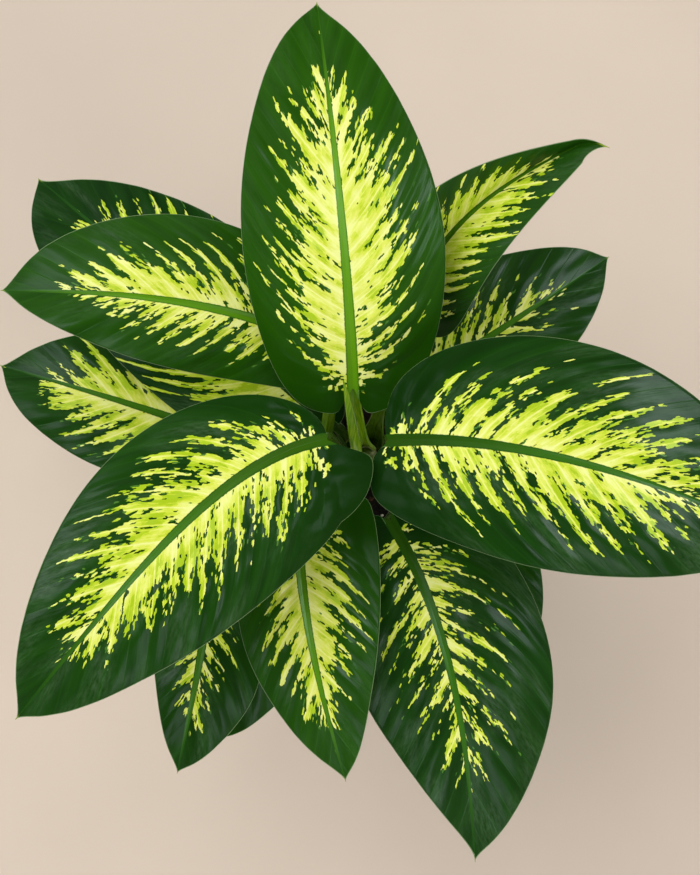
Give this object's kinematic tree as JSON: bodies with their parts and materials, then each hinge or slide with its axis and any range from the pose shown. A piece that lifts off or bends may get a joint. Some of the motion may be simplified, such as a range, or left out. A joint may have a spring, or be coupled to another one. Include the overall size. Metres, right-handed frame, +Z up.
{
  "type": "potted dieffenbachia",
  "caption": "House plant with broad pointed cream and green leaves on sheathed stalks, growing from ringed canes in a tapered pot of soil.",
  "frame": {"origin": "centre of the pot's underside, on the surface that it stands on", "axes": "+Z up through the pot's axis; +Y towards the longest upright leaf at the top of the picture; +X to the picture's right"},
  "size_m": [0.5209, 0.5623, 0.4706],
  "materials": {
    "pot_plastic": "moulded charcoal polypropylene, satin",
    "soil": "damp peat potting mix with bark and perlite",
    "cane": "smooth green-brown stem with pale leaf scars",
    "leaf": "waxy leaf, dark green margin with cream and lime variegation"
  },
  "bodies": {
    "root": {"pot": "pot_plastic", "potting_soil": "soil", "cane_tall": "cane", "cane_right": "cane", "cane_left": "cane", "leaf_01": "leaf", "leaf_02": "leaf", "leaf_03": "leaf", "leaf_04": "leaf", "leaf_05": "leaf", "leaf_06": "leaf", "leaf_07": "leaf", "leaf_08": "leaf", "leaf_09": "leaf", "leaf_10": "leaf", "leaf_11": "leaf", "leaf_12": "leaf", "leaf_13": "leaf"}
  },
  "joints": []
}
